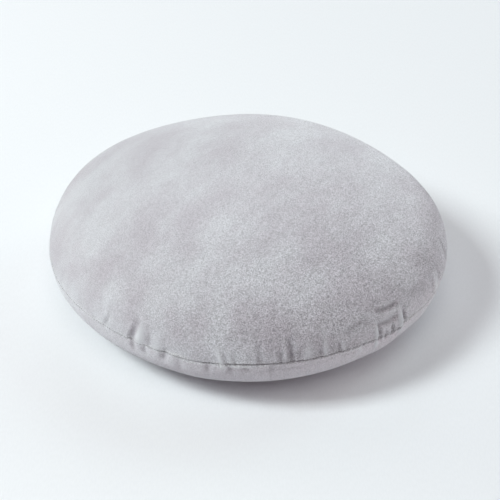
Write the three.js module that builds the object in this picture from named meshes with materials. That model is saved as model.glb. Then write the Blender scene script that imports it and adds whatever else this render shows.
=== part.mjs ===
// A round filled cushion: two discs of velvet sewn together at the edge, turned and filled.
//
// Millimetres, +Z up. The origin is on the floor, under the middle of the cushion.
// Angles round the cushion are in degrees from the front (-Y), positive towards the right (+X).
// Distances along the cloth are measured from the seam, positive up the upper panel.

import * as THREE from "three";

// Driving dimensions

const DIAMETER = 400; // across the seam of the filled cushion
const SEAM_HEIGHT = 55; // seam above the floor
const CROWN_RISE = 71; // crown above the seam
const CROWN_POWER = { across: 2.24, up: 2.25 }; // 2 is an ellipse, more is fuller
const UNDERSIDE_DROP = 82; // how far the lower panel would hang below the seam with no floor
const FLOOR_ROUNDING = 10; // height over which the lower panel turns flat on the floor
const FREE_HEIGHT = 24; // folds fade out below this height, where the floor holds the cloth

const SEAM_GROOVE = { depth: 2.2, width: 2.6 }; // the stitching draws the two panels in
const SEAM_SWAY_REACH = 45; // how far from the seam the cloth follows the seam's sway

const VELVET = { color: 0xc9c8cd, roughness: 0.9, metalness: 0 };

const RADIUS = DIAMETER / 2;

// The edge isn't a true circle. Each row adds a wave with so many humps round the edge,
// with one hump at the angle given.
const EDGE_WAVES = [
  { humps: 2, size: 0.8, at: 4 },
  { humps: 3, size: 0.5, at: -19 },
  { humps: 4, size: 1.3, at: -6 },
  { humps: 5, size: 0.9, at: 15 },
];

// The seam rises and falls as it goes round.
const SEAM_WAVES = [
  { humps: 2, size: 0.6, at: -50 },
  { humps: 3, size: 1.6, at: -8 },
  { humps: 4, size: 0.8, at: -2 },
  { humps: 5, size: 1.6, at: 26 },
];

// Places where the thread draws the seam down, with their spread in degrees.
const SEAM_DIPS = [
  { at: -13, drop: 1.8, spread: 7 },
  { at: 43, drop: 3.2, spread: 5 },
  { at: 61, drop: 3.0, spread: 6 },
];

// Puckers at the front, where the thread gathers the cloth. Each is a crease across the seam with
// a ridge at either side. Up and down are how far it runs on the two panels, and lean is how far
// its upper end leans to the right.
const FRONT_PUCKERS = [
  { at: -63.0, depth: 0.8, width: 5.0, up: 16, down: 8, lean: 3 },
  { at: -51.0, depth: 0.7, width: 5.0, up: 14, down: 6, lean: 2 },
  { at: -40.4, depth: 2.0, width: 3.5, up: 20, down: 6, lean: 5 },
  { at: -31.0, depth: 3.3, width: 4.4, up: 30, down: 16, lean: 7 },
  { at: -27.0, depth: 1.9, width: 3.4, up: 3, down: 17, lean: 1 },
  { at: -25.2, depth: 1.5, width: 4.0, up: 24, down: 3, lean: 1 },
  { at: -20.8, depth: 2.6, width: 4.4, up: 8, down: 17, lean: 1 },
  { at: -9.2, depth: 1.4, width: 4.4, up: 4, down: 16, lean: 0 },
  { at: -4.2, depth: 1.4, width: 3.2, up: 20, down: 6, lean: -6 },
  { at: -1.9, depth: 1.0, width: 3.2, up: 18, down: 3, lean: -4 },
  { at: 0.5, depth: 1.1, width: 4.5, up: 3, down: 14, lean: 0 },
  { at: 4.4, depth: 1.3, width: 4.2, up: 35, down: 3, lean: -5 },
  { at: 9.4, depth: 1.5, width: 3.4, up: 24, down: 3, lean: 0 },
  { at: 12.2, depth: 2.1, width: 4.2, up: 38, down: 3, lean: -3 },
  { at: 14.5, depth: 1.1, width: 3.6, up: 20, down: 3, lean: 0 },
  { at: 20.0, depth: 1.5, width: 3.4, up: 22, down: 4, lean: 0 },
  { at: 25.2, depth: 1.6, width: 3.4, up: 17, down: 3, lean: 0 },
  { at: 33.0, depth: 1.5, width: 3.0, up: 8, down: 11, lean: 0 },
  { at: 39.0, depth: 2.9, width: 3.2, up: 22, down: 6, lean: -1 },
  { at: 41.8, depth: 1.8, width: 2.6, up: 8, down: 6, lean: 0 },
  { at: 44.5, depth: 2.0, width: 2.6, up: 12, down: 4, lean: 0 },
  { at: 49.0, depth: 3.4, width: 3.2, up: 24, down: 4, lean: -1 },
  { at: 56.0, depth: 0.7, width: 4.4, up: 18, down: 3, lean: 0 },
  { at: 60.8, depth: 0.9, width: 4.2, up: 22, down: 4, lean: -1 },
  { at: 65.0, depth: 1.4, width: 3.6, up: 31, down: 4, lean: -1 },
  { at: 70.1, depth: 1.5, width: 3.8, up: 28, down: 4, lean: -2 },
];

// The back has the same kind of puckers, spread unevenly from the right end of the front table to
// the smooth stretch at the left. Each size varies by up to the share given, and so does the
// place, by up to sway degrees.
const BACK_PUCKERS = { count: 22, from: 79, to: 266, sway: 3 };
const BACK_SIZES = { depth: 1.4, width: 4.2, up: 24, down: 6, lean: 3 };
const BACK_VARIATION = 0.55;
const UNEVEN_STEP = 2.4; // turn in radians from one back pucker to the next, so that none repeats
const UNEVEN_START = { depth: 0.7, up: 1.4, down: 2.2, lean: 2.9 }; // where each size's turn starts

// Wrinkles that run along the seam, on the upper panel, beside the hand-closed stretch.
const WRINKLES = [
  { from: 38.0, to: 47.8, low: 26.5, high: 23.5, arch: 0, depth: 1.9, width: 3.4 },
  { from: 38.0, to: 46.4, low: 13.5, high: 13, arch: 0, depth: 1.6, width: 3.2 },
  { from: 26.0, to: 37.8, low: 11.5, high: 13.5, arch: 8.5, depth: 1.1, width: 3.4 },
];

// Soft humps and hollows of the filling under the upper panel.
const LUMPS = [
  { x: 95, y: -70, height: 0.9, spread: 42 },
  { x: 10, y: -105, height: -0.8, spread: 38 },
  { x: -95, y: -45, height: 0.9, spread: 46 },
  { x: 110, y: 30, height: -0.7, spread: 46 },
  { x: 40, y: 95, height: 0.8, spread: 48 },
  { x: -85, y: 80, height: -0.7, spread: 48 },
];

// Net of rings and columns. Rings are given by their distance from the seam along each panel.
const UPPER_RINGS = [2, 4.5, 8, 12, 16, 20, 25, 31, 41, 54, 72, 94, 120, 150, 182];
const LOWER_RINGS = [2, 4.5, 8, 14, 22, 33, 45, 58, 72, 88, 106]; // the last lies on the floor
const SECTION_STEPS = 2000; // fine enough to measure distances along the cloth
const COLUMN_GAP = { least: 0.6, most: 2.8 }; // degrees
const RIDGE_AT = 1.22; // a pucker's ridges stand at this many widths from its crease

const toRadians = THREE.MathUtils.degToRad;
const toDegrees = THREE.MathUtils.radToDeg;

// Section of each panel, from the seam to the middle of the panel.

class UpperPanel extends THREE.Curve {
  getPoint(t, target = new THREE.Vector3()) {
    const turn = (t * Math.PI) / 2;
    const radius = t === 1 ? 0 : RADIUS * Math.cos(turn) ** (2 / CROWN_POWER.across);
    const rise = CROWN_RISE * Math.sin(turn) ** (2 / CROWN_POWER.up);
    return target.set(radius, SEAM_HEIGHT + rise, 0);
  }
}

class LowerPanel extends THREE.Curve {
  getPoint(t, target = new THREE.Vector3()) {
    const turn = (t * Math.PI) / 2;
    const radius = t === 1 ? 0 : RADIUS * Math.cos(turn);
    const height = restOnFloor(SEAM_HEIGHT - UNDERSIDE_DROP * Math.sin(turn));
    return target.set(radius, height, 0);
  }
}

// A height that would pass below the floor turns smoothly into the floor's own level, 0.
function restOnFloor(height) {
  if (height >= FLOOR_ROUNDING) return height;
  if (height <= -FLOOR_ROUNDING) return 0;
  return (height + FLOOR_ROUNDING) ** 2 / (4 * FLOOR_ROUNDING);
}

// Points of the section from the middle of the underside, round the seam, to the crown,
// each with its outward direction and its distance from the seam.
function sectionStations() {
  const panels = [
    { curve: new UpperPanel(), rings: UPPER_RINGS, side: 1 },
    { curve: new LowerPanel(), rings: LOWER_RINGS, side: -1 },
  ];
  const stations = [{ radius: RADIUS, height: SEAM_HEIGHT, out: { r: 1, z: 0 }, distance: 0 }];
  for (const { curve, rings, side } of panels) {
    curve.arcLengthDivisions = SECTION_STEPS;
    const length = curve.getLength();
    for (const ring of [...rings, length]) {
      const share = ring / length;
      const point = curve.getPointAt(share);
      const along = curve.getTangentAt(share);
      const out = { r: side * along.y, z: -side * along.x };
      stations.push({ radius: point.x, height: point.y, out, distance: side * ring });
    }
  }
  return stations.sort((a, b) => a.distance - b.distance);
}

function backPuckers() {
  const { count, from, to, sway } = BACK_PUCKERS;
  const puckers = [];
  for (let i = 0; i < count; i++) {
    const uneven = (start) => Math.sin(UNEVEN_STEP * i + start);
    const vary = (name) => BACK_SIZES[name] * (1 + BACK_VARIATION * uneven(UNEVEN_START[name]));
    puckers.push({
      at: from + ((to - from) * i) / (count - 1) + sway * uneven(0),
      depth: vary("depth"),
      width: BACK_SIZES.width,
      up: vary("up"),
      down: vary("down"),
      lean: BACK_SIZES.lean * uneven(UNEVEN_START.lean),
    });
  }
  return puckers;
}

const PUCKERS = [...FRONT_PUCKERS, ...backPuckers()];

function waves(table, angle) {
  let sum = 0;
  for (const { humps, size, at } of table) sum += size * Math.cos(humps * toRadians(angle - at));
  return sum;
}

function bell(share) {
  return Math.exp(-share * share);
}

// Crease with a ridge at either side: -1 in the middle, and as much cloth raised as pressed in.
function crease(share) {
  return (2 * share * share - 1) * bell(share);
}

// How strong a fold still is at this share of its reach.
function fade(share) {
  return share < 1 ? (1 - share) ** 2 * (1 + 2 * share) : 0;
}

function turnBetween(from, to) {
  return THREE.MathUtils.euclideanModulo(to - from + 180, 360) - 180;
}

// How far the seam wanders up or down at this angle.
function seamSway(angle) {
  let sway = waves(SEAM_WAVES, angle);
  for (const { at, drop, spread } of SEAM_DIPS) sway -= drop * bell(turnBetween(at, angle) / spread);
  return sway;
}

function puckerRelief(angle, distance, radius) {
  let relief = 0;
  for (const { at, depth, width, up, down, lean } of PUCKERS) {
    const reach = distance > 0 ? up : down;
    const strength = fade(Math.abs(distance) / reach);
    if (strength === 0) continue;
    const across = toRadians(turnBetween(at, angle)) * radius - (lean * distance) / up;
    relief += depth * strength * crease(across / width);
  }
  return relief;
}

function wrinkleRelief(angle, distance) {
  let relief = 0;
  for (const { from, to, low, high, arch, depth, width } of WRINKLES) {
    const share = turnBetween(from, angle) / (to - from);
    if (share <= 0 || share >= 1) continue;
    const swell = Math.sin(Math.PI * share);
    const line = low + (high - low) * share + arch * swell;
    relief += depth * swell * crease((distance - line) / width);
  }
  return relief;
}

function lumpRelief(x, y, distance) {
  if (distance <= 0) return 0;
  let relief = 0;
  for (const lump of LUMPS) relief += lump.height * bell(Math.hypot(x - lump.x, y - lump.y) / lump.spread);
  return relief * (1 - bell(distance / SEAM_SWAY_REACH));
}

// The finished cloth at an angle round the cushion and a station of its section.
function clothPoint(angle, { radius, height, out, distance }) {
  const free = THREE.MathUtils.smoothstep(height, 0, FREE_HEIGHT);
  const edge = radius * (1 + waves(EDGE_WAVES, angle) / RADIUS);
  const sway = seamSway(angle) * bell(distance / SEAM_SWAY_REACH);
  const turn = toRadians(angle);
  const groove = -SEAM_GROOVE.depth * bell(distance / SEAM_GROOVE.width);
  const folds = puckerRelief(angle, distance, radius) + wrinkleRelief(angle, distance);
  const lumps = lumpRelief(edge * Math.sin(turn), -edge * Math.cos(turn), distance);
  const relief = free * (groove + folds + lumps);
  const reach = edge + relief * out.r;
  return new THREE.Vector3(
    reach * Math.sin(turn),
    -reach * Math.cos(turn),
    height + free * sway + relief * out.z,
  );
}

// A column on each crease and on each ridge, and more between them where the gap is wide.
function columnAngles() {
  const marks = [];
  for (const { at, width } of PUCKERS) {
    const ridge = toDegrees((RIDGE_AT * width) / RADIUS);
    marks.push(at - ridge, at, at + ridge);
  }
  marks.sort((a, b) => a - b);
  const angles = [];
  marks.forEach((mark, i) => {
    const next = i + 1 < marks.length ? marks[i + 1] : marks[0] + 360;
    const gap = next - mark;
    if (gap < COLUMN_GAP.least) return;
    const steps = Math.ceil(gap / COLUMN_GAP.most);
    for (let step = 0; step < steps; step++) angles.push(mark + (gap * step) / steps);
  });
  return angles;
}

// The lathe gives the closed net, and each of its points is then set on the finished cloth.
function cushionGeometry() {
  const stations = sectionStations();
  const angles = columnAngles();
  const section = stations.map(({ radius, height }) => new THREE.Vector2(radius, height));
  const geometry = new THREE.LatheGeometry(section, angles.length);
  const points = geometry.getAttribute("position");
  for (let column = 0; column <= angles.length; column++) {
    const angle = angles[column % angles.length];
    stations.forEach((station, ring) => {
      const { x, y, z } = clothPoint(angle, station);
      points.setXYZ(column * stations.length + ring, x, y, z);
    });
  }
  geometry.computeVertexNormals();
  return geometry;
}

const cushion = new THREE.Mesh(cushionGeometry(), new THREE.MeshStandardMaterial(VELVET));
cushion.name = "cushion";

const part = new THREE.Group();
part.add(cushion);

export default part;
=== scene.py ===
# %% [markdown]
# # A round velvet cushion
# The part is a filled cushion: two discs of pale grey cotton velvet, sewn together at the edge.
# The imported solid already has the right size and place, so this lesson loads it as a fixed frame
# and then builds the cloth itself: its crown, its gathered seam, its thread and its pile.

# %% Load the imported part
import math

import bpy
import numpy as np
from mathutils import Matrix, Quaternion, Vector
from mathutils.kdtree import KDTree


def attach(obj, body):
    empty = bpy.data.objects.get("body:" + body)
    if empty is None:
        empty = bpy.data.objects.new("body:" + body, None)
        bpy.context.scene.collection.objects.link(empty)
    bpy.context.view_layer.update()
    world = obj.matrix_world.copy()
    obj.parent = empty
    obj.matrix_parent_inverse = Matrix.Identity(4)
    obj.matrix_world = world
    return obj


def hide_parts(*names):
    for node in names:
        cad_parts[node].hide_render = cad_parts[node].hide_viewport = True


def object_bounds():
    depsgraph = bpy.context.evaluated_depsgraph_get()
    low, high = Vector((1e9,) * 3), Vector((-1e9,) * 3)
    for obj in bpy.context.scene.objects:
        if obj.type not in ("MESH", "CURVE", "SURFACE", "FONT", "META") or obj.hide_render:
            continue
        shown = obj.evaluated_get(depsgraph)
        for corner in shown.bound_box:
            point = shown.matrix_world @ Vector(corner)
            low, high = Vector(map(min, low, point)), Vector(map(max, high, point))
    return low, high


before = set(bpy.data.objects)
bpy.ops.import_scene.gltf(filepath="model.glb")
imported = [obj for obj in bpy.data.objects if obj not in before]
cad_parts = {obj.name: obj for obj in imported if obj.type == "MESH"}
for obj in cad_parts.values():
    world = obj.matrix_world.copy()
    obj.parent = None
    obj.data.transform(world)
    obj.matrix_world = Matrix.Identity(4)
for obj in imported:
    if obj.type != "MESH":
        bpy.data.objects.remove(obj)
cad_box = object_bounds()
print("solids:", sorted(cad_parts))
print("box in metres:", [tuple(round(v, 4) for v in corner) for corner in cad_box])

# %% [markdown]
# ## The section of the cushion
# A cut through the middle shows two curves that meet at the seam. The upper panel is a full dome.
# The lower one hangs below the seam and turns flat where the floor holds it. A subdivided sphere
# could be squashed to this, but a formula keeps the seam, the crown and the flat underside exact.

# %% Driving sizes, in millimetres
MM = 0.001  # a millimetre in Blender's metres
RADIUS = 200
SEAM_HEIGHT = 55
CROWN_RISE = 71
CROWN_POWER_ACROSS = 2.24
CROWN_POWER_UP = 2.25
UNDERSIDE_DROP = 82
FLOOR_ROUNDING = 10

top_of_solid = cad_box[1].z / MM
print("crown of the formula", SEAM_HEIGHT + CROWN_RISE, "mm, of the solid", round(top_of_solid, 1), "mm")

# %% The two curves and their lengths
CURVE_STEPS = 4001


def upper_curve(turn):
    """Radius and height of the dome, from a turn of 0 at the seam to a quarter at the crown."""
    radius = RADIUS * np.cos(turn) ** (2 / CROWN_POWER_ACROSS)
    height = SEAM_HEIGHT + CROWN_RISE * np.sin(turn) ** (2 / CROWN_POWER_UP)
    return radius, height


def lower_curve(turn):
    """Radius and height of the underside, with a parabola where it turns onto the floor."""
    radius = RADIUS * np.cos(turn)
    hanging = SEAM_HEIGHT - UNDERSIDE_DROP * np.sin(turn)
    turning = (hanging + FLOOR_ROUNDING) ** 2 / (4 * FLOOR_ROUNDING)
    height = np.where(hanging > FLOOR_ROUNDING, hanging, np.where(hanging > -FLOOR_ROUNDING, turning, 0))
    return radius, height


def measured(curve):
    """Distance from the seam, radius, height and outward direction along a curve."""
    radius, height = curve(np.linspace(0, math.pi / 2, CURVE_STEPS))
    steps = np.hypot(np.diff(radius), np.diff(height))
    distance = np.concatenate([[0], np.cumsum(steps)])
    out_r = np.abs(np.gradient(height, distance))
    out_z = np.abs(np.gradient(radius, distance)) * np.sign(height.mean() - SEAM_HEIGHT)
    return {"distance": distance, "radius": radius, "height": height, "out_r": out_r, "out_z": out_z}


PANELS = {1: measured(upper_curve), -1: measured(lower_curve)}
print("seam to crown", round(PANELS[1]["distance"][-1]), "mm, seam to middle of underside",
      round(PANELS[-1]["distance"][-1]), "mm along the cloth")

# %% [markdown]
# ## The line of the seam
# A real seam is never a true circle: the edge swells and shrinks in slow waves, and the seam sways
# and dips where the thread was drawn tight. Noise would do, but waves and dips with an angle of
# their own go where the cushion has them. Angles are in degrees from the front, positive to the
# right, and lengths in millimetres.

# %% Waves and dips
EDGE_WAVES = [(2, 0.8, 4), (3, 0.5, -19), (4, 1.3, -6), (5, 0.9, 15)]  # humps, size, angle of one hump
SEAM_WAVES = [(2, 0.6, -50), (3, 1.6, -8), (4, 0.8, -2), (5, 1.6, 26)]
SEAM_DIPS = [(-13, 1.8, 7), (43, 3.2, 5), (61, 3.0, 6)]  # angle, drop, spread in degrees


def bell(share):
    return np.exp(-share * share)


def turn_between(start, angle):
    return (angle - start + 180) % 360 - 180


def waves(table, angle):
    return sum(size * np.cos(humps * np.radians(angle - at)) for humps, size, at in table)


def seam_sway(angle):
    """How far the seam wanders up or down."""
    dips = sum(drop * bell(turn_between(at, angle) / spread) for at, drop, spread in SEAM_DIPS)
    return waves(SEAM_WAVES, angle) - dips


all_round = np.arange(-180.0, 180.0)
sways = seam_sway(all_round)
print("the seam wanders from", round(sways.min(), 1), "to", round(sways.max(), 1), "mm")

# %% [markdown]
# ## Puckers
# The thread of the seam gathers the cloth, so creases run across it with a ridge at either side.
# Noise would scatter them anywhere. On this cushion they have their places, so each is a row:
# its angle, its depth, its half width, how far it runs on each panel, and its lean. A negative
# depth is a ridge. Rows that reach 1 mm on one panel belong to the other one. The back can't be
# seen, so its puckers follow a rule that is uneven in the same way.

# %% Puckers at the front
FRONT_PUCKERS = [  # at, depth, width, up, down, lean
    (-63.0, 0.9, 5.0, 18, 8, 3),
    (-51.0, 0.8, 5.0, 16, 6, 2),
    (-40.2, 2.2, 3.4, 22, 4, 8),
    (-31.2, 3.6, 3.8, 30, 1, 8),
    (-30.5, 3.2, 3.4, 1, 17, 0),
    (-28.3, -2.3, 4.2, 28, 2, 2),
    (-26.9, 2.4, 3.6, 1, 17, 0),
    (-25.4, 1.4, 4.0, 22, 1, 1),
    (-23.0, -1.1, 4.4, 24, 1, 1),
    (-20.7, 3.1, 5.0, 8, 16, 2),
    (-16.7, 0.9, 5.0, 1, 34, 0),
    (-9.1, 2.1, 4.0, 1, 19, 0),
    (-5.3, -1.9, 2.8, 20, 10, -9),
    (-4.2, 1.4, 2.8, 20, 2, -6),
    (-3.5, 2.1, 4.0, 1, 22, 0),
    (-3.1, -0.7, 2.6, 18, 1, -5),
    (-1.9, 1.5, 2.8, 18, 1, -4),
    (0.4, 1.6, 4.4, 1, 13, 0),
    (4.5, 1.9, 4.0, 34, 2, -6),
    (7.1, 1.7, 3.4, 1, 21, 0),
    (9.4, 2.3, 3.2, 22, 2, 0),
    (12.4, 3.4, 4.2, 36, 2, -3),
    (14.3, 1.6, 3.4, 18, 2, 0),
    (16.6, -1.2, 5.0, 28, 1, 2),
    (20.1, 1.9, 3.0, 20, 2, 0),
    (21.3, -1.1, 2.8, 38, 1, 1),
    (25.4, 2.8, 3.0, 16, 2, 0),
    (26.4, -0.9, 2.6, 18, 1, 0),
    (32.0, -1.0, 3.4, 1, 26, 0),
    (33.3, 1.8, 3.0, 2, 10, 0),
    (33.6, -0.7, 3.4, 16, 1, 0),
    (37.6, -2.4, 2.4, 24, 18, 0),
    (39.1, 4.2, 3.0, 20, 6, -1),
    (41.4, 4.2, 2.2, 6, 7, 0),
    (44.1, 5.2, 2.4, 13, 4, 0),
    (47.2, -3.6, 2.8, 24, 10, 0),
    (49.2, 4.6, 3.0, 22, 2, -1),
    (56.0, 0.6, 4.0, 18, 2, 0),
    (60.5, 0.5, 4.2, 20, 4, -1),
    (64.8, 1.4, 3.2, 28, 1, 0),
    (66.9, -2.2, 3.2, 24, 10, 0),
    (70.6, 2.2, 3.6, 34, 3, -6),
]
print(len(FRONT_PUCKERS), "puckers and ridges at the front")

# %% Puckers at the back
BACK_COUNT = 22
BACK_FROM = 79
BACK_TO = 266
BACK_SWAY = 3
BACK_DEPTH = (2.0, 0.7)  # middle value, phase of its unevenness
BACK_UP = (26, 1.4)
BACK_DOWN = (8, 2.2)
BACK_LEAN = (3, 2.9)
BACK_WIDTH = 3.8
BACK_VARIATION = 0.6
UNEVEN_STEP = 2.4  # in radians, so that no two neighbours are alike


def varied(value, turn):
    middle, phase = value
    return middle * (1 + BACK_VARIATION * math.sin(turn + phase))


def back_puckers():
    rows = []
    most_lean, lean_phase = BACK_LEAN
    for i in range(BACK_COUNT):
        turn = UNEVEN_STEP * i
        at = BACK_FROM + (BACK_TO - BACK_FROM) * i / (BACK_COUNT - 1) + BACK_SWAY * math.sin(turn)
        lean = most_lean * math.sin(turn + lean_phase)
        rows.append((at, varied(BACK_DEPTH, turn), BACK_WIDTH, varied(BACK_UP, turn),
                     varied(BACK_DOWN, turn), lean))
    return rows


PUCKERS = FRONT_PUCKERS + back_puckers()
print(len(PUCKERS), "puckers and ridges in all")

# %% [markdown]
# ## Wrinkles and lumps
# A few creases run along the seam, most of them beside the stretch that was closed last, and the
# uneven filling gives the crown broad lumps and hollows under 1 mm high. Noise could make these too,
# but they have their places, so both are short tables like the puckers.

# %% Tables of wrinkles and lumps
WRINKLES = [  # from, to, low, high, arch, depth, width
    (38.0, 47.8, 26.5, 23.5, 0, 4.2, 2.7),
    (38.0, 46.4, 13.5, 13, 0, 3.6, 2.9),
    (26.0, 37.8, 11.5, 13.5, 8.5, 1.9, 3.4),
    (25.6, 31.8, -4.5, -6.5, 0, 1.3, 2.0),
    (-4.5, 3.5, -6.5, -6, 0, 1.2, 2.2),
    (3, 24, -7, -7, 0, 0.7, 3.4),
    (49.5, 62, 21, 20, 0, 0.8, 6.0),
]
LUMPS = [  # x, y, height, spread
    (95, -70, 0.9, 42),
    (10, -105, -0.8, 38),
    (-95, -45, 0.9, 46),
    (110, 30, -0.7, 46),
    (40, 95, 0.8, 48),
    (-85, 80, -0.7, 48),
]
print(len(WRINKLES), "wrinkles and", len(LUMPS), "lumps")

# %% How the tables shape the cloth
SEAM_SHARE = 0.45  # strength of a pucker on the seam itself
FULL_FOLD = 7  # distance from the seam where it is at its full strength
SEAM_REACH = 45  # how far up and down the cloth the seam is felt


def crease(share):
    """Section of a crease: a valley of depth 1 with a low roll of cloth at either side."""
    return (share * share - 1) * bell(share)


def fade(share):
    share = np.clip(share, 0, 1)
    return (1 - share) ** 2 * (1 + 2 * share)


def smoothstep(value, low, high):
    share = np.clip((value - low) / (high - low), 0, 1)
    return share * share * (3 - 2 * share)


def pucker_reach(pucker, angle, distance, radius):
    """Depth of a pucker, its strength along its length, and the place across it in half widths."""
    at, depth, width, up, down, lean = pucker
    strength = fade(np.abs(distance) / np.where(distance > 0, up, down))
    strength *= SEAM_SHARE + (1 - SEAM_SHARE) * smoothstep(np.abs(distance), 0, FULL_FOLD)
    across = np.radians(turn_between(at, angle)) * radius - lean * distance / up
    return depth, strength, across / width


def folds(angle, distance, radius):
    """Height in millimetres that the puckers and wrinkles add to the cloth."""
    height = np.zeros_like(angle)
    for pucker in PUCKERS:
        depth, strength, across = pucker_reach(pucker, angle, distance, radius)
        height += depth * strength * (crease(across) if depth > 0 else -bell(across))
    for start, end, low, high, arch, depth, width in WRINKLES:
        share = np.clip(turn_between(start, angle) / (end - start), 0, 1)
        swell = np.sin(math.pi * share)
        line = low + (high - low) * share + arch * swell
        height += depth * np.sqrt(swell) * crease((distance - line) / width)
    return height


def lumps(x, y, distance):
    height = sum(rise * bell(np.hypot(x - at_x, y - at_y) / spread) for at_x, at_y, rise, spread in LUMPS)
    return height * np.where(distance > 0, 1 - bell(distance / SEAM_REACH), 0)


heights = folds(all_round, np.full_like(all_round, FULL_FOLD), RADIUS)
print(FULL_FOLD, "mm above the seam the folds run from", round(heights.min(), 1), "to",
      round(heights.max(), 1), "mm")

# %% [markdown]
# ## The net of the cloth
# A square grid would cut across the seam, so the cloth is a net of rings round the cushion. They
# lie close together at the seam, where the folds are, and wide apart on the smooth crown. Towards
# the middle a ring has half as many points as the last whenever they would crowd, so that no face
# becomes a sliver.

# %% Rings
COLUMNS = 480
HALVING_LEAD = 0.35  # how early a ring halves its points, as a share of one halving
UPPER_RINGS = [
    1.2, 3, 5.5, 8.5, 12, 15.5, 19, 22.5, 26, 30, 34, 38, 43, 48,
    54, 62, 72, 84, 97, 111, 126, 141, 156, 171, 186, 201, 213,
]
LOWER_RINGS = [
    1.2, 3, 5.5, 8.5, 12, 15.5, 19, 23, 27, 32, 38, 45,
    53, 61, 68, 75, 82, 92, 106, 122, 140, 158, 175, 190,
]


def ring_table():
    """One row for each ring from the middle of the underside to the crown."""
    rows = []
    for side, distances in ((-1, LOWER_RINGS[::-1]), (1, [0] + UPPER_RINGS)):
        panel = PANELS[side]
        for distance in distances:
            row = {name: float(np.interp(distance, panel["distance"], panel[name])) for name in panel}
            row["distance"] = side * distance
            halvings = max(0, math.floor(math.log2(RADIUS / row["radius"]) + HALVING_LEAD))
            row["columns"] = COLUMNS // 2 ** halvings
            rows.append(row)
    return rows


RINGS = ring_table()
print(len(RINGS), "rings, with", min(row["columns"] for row in RINGS), "to", COLUMNS, "points")

# %% Join the rings into a net
FRONT_CROWDING = 12  # degrees by which points are drawn to the front, where the finest folds are


def bridge(first, first_count, second, second_count):
    """Faces between two rings, where one may have twice the points of the other."""
    if first_count == second_count:
        return [(first + i, first + (i + 1) % first_count, second + (i + 1) % first_count, second + i)
                for i in range(first_count)]
    flip = first_count < second_count
    if flip:
        first, first_count, second, second_count = second, second_count, first, first_count
    faces = []
    for i in range(second_count):
        left, middle, right = first + 2 * i, first + 2 * i + 1, first + (2 * i + 2) % first_count
        near, far = second + i, second + (i + 1) % second_count
        faces += [(left, middle, near), (middle, far, near), (middle, right, far)]
    return [face[::-1] for face in faces] if flip else faces


def net():
    """Arrays of the ring values at every point, and the faces that join them."""
    starts = np.cumsum([0] + [row["columns"] for row in RINGS])
    values = {name: np.concatenate([np.full(row["columns"], row[name]) for row in RINGS])
              for name in ("distance", "radius", "height", "out_r", "out_z")}
    turn = np.concatenate([np.arange(row["columns"]) * 360 / row["columns"] for row in RINGS])
    values["angle"] = turn - FRONT_CROWDING * np.sin(np.radians(turn))
    faces = []
    for i in range(len(RINGS) - 1):
        faces += bridge(starts[i], RINGS[i]["columns"], starts[i + 1], RINGS[i + 1]["columns"])
    underside, crown = starts[-1], starts[-1] + 1
    count = RINGS[0]["columns"]
    faces += [(underside, (i + 1) % count, i) for i in range(count)]
    count, start = RINGS[-1]["columns"], starts[-2]
    faces += [(crown, start + i, start + (i + 1) % count) for i in range(count)]
    for side in (-1, 1):
        panel = PANELS[side]
        for name in values:
            end = panel[name][-1] if name in panel else 0
            values[name] = np.append(values[name], side * end if name == "distance" else end)
    return values, faces


NET, FACES = net()
print(len(NET["angle"]), "points and", len(FACES), "faces")

# %% Place every point and make the mesh
FREE_HEIGHT = 24  # the cloth is flat on the floor and shows its full folds from this height up
FOLDS_BEFORE = 0.45  # share of the folds that the net has before it is filled
START_INSET = 2.2
INSET_AT = 45
INSET_REACH = 25
FULL_FRONT = 60


def start_inset(angle, distance):
    """The cover starts this much too small, but not at the front, where it bulges."""
    away_from_front = 1 - bell(turn_between(0, angle) / FULL_FRONT)
    return START_INSET * bell((distance - INSET_AT) / INSET_REACH) * away_from_front


def cloth_points(values):
    angle, distance = values["angle"], values["distance"]
    turn = np.radians(angle)
    free = smoothstep(values["height"], 0, FREE_HEIGHT)
    edge = values["radius"] * (1 + waves(EDGE_WAVES, angle) / RADIUS)
    sway = seam_sway(angle) * bell(distance / SEAM_REACH)
    relief = FOLDS_BEFORE * folds(angle, distance, values["radius"]) - start_inset(angle, distance)
    relief += lumps(edge * np.sin(turn), -edge * np.cos(turn), distance)
    reach = edge + free * relief * values["out_r"]
    height = values["height"] + free * (sway + relief * values["out_z"])
    return np.stack([reach * np.sin(turn), -reach * np.cos(turn), height], axis=1) * MM


def add_mesh(name, points, faces):
    mesh = bpy.data.meshes.new(name)
    mesh.from_pydata(points.tolist(), [], faces)
    mesh.update()
    mesh.shade_smooth()
    piece = bpy.data.objects.new(name, mesh)
    bpy.context.scene.collection.objects.link(piece)
    return piece


def add_attribute(mesh, name, values):
    mesh.attributes.new(name, "FLOAT", "POINT").data.foreach_set("value", values)


cushion = add_mesh("velvet_cushion", cloth_points(NET), FACES)
add_attribute(cushion.data, "from_seam_mm", NET["distance"])
print("cloth net:", tuple(round(side / MM) for side in cushion.dimensions), "mm")

# %% [markdown]
# ## Fill the cover
# A real cover gets its soft look from the filling that pushes out and the thread that holds back.
# Sculpting could fake that. Here a cloth simulation does it: the seam, the bottoms of the creases,
# the crown and the underside are held, and pressure from inside makes the cloth between them swell.
# The net starts a little too small, because it swells, and no point may move far, so that the
# cushion keeps its size. On a net as fine as this one the pressure has to be high to show.

# %% What holds the cloth
FREE_UP = 55
FREE_DOWN = 30
HOLD_FADE = 25
HELD_DEPTH = 1.5  # a crease this deep is held as firmly as the seam
CREASE_BOTTOM = 0.5  # in half widths of the crease


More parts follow.
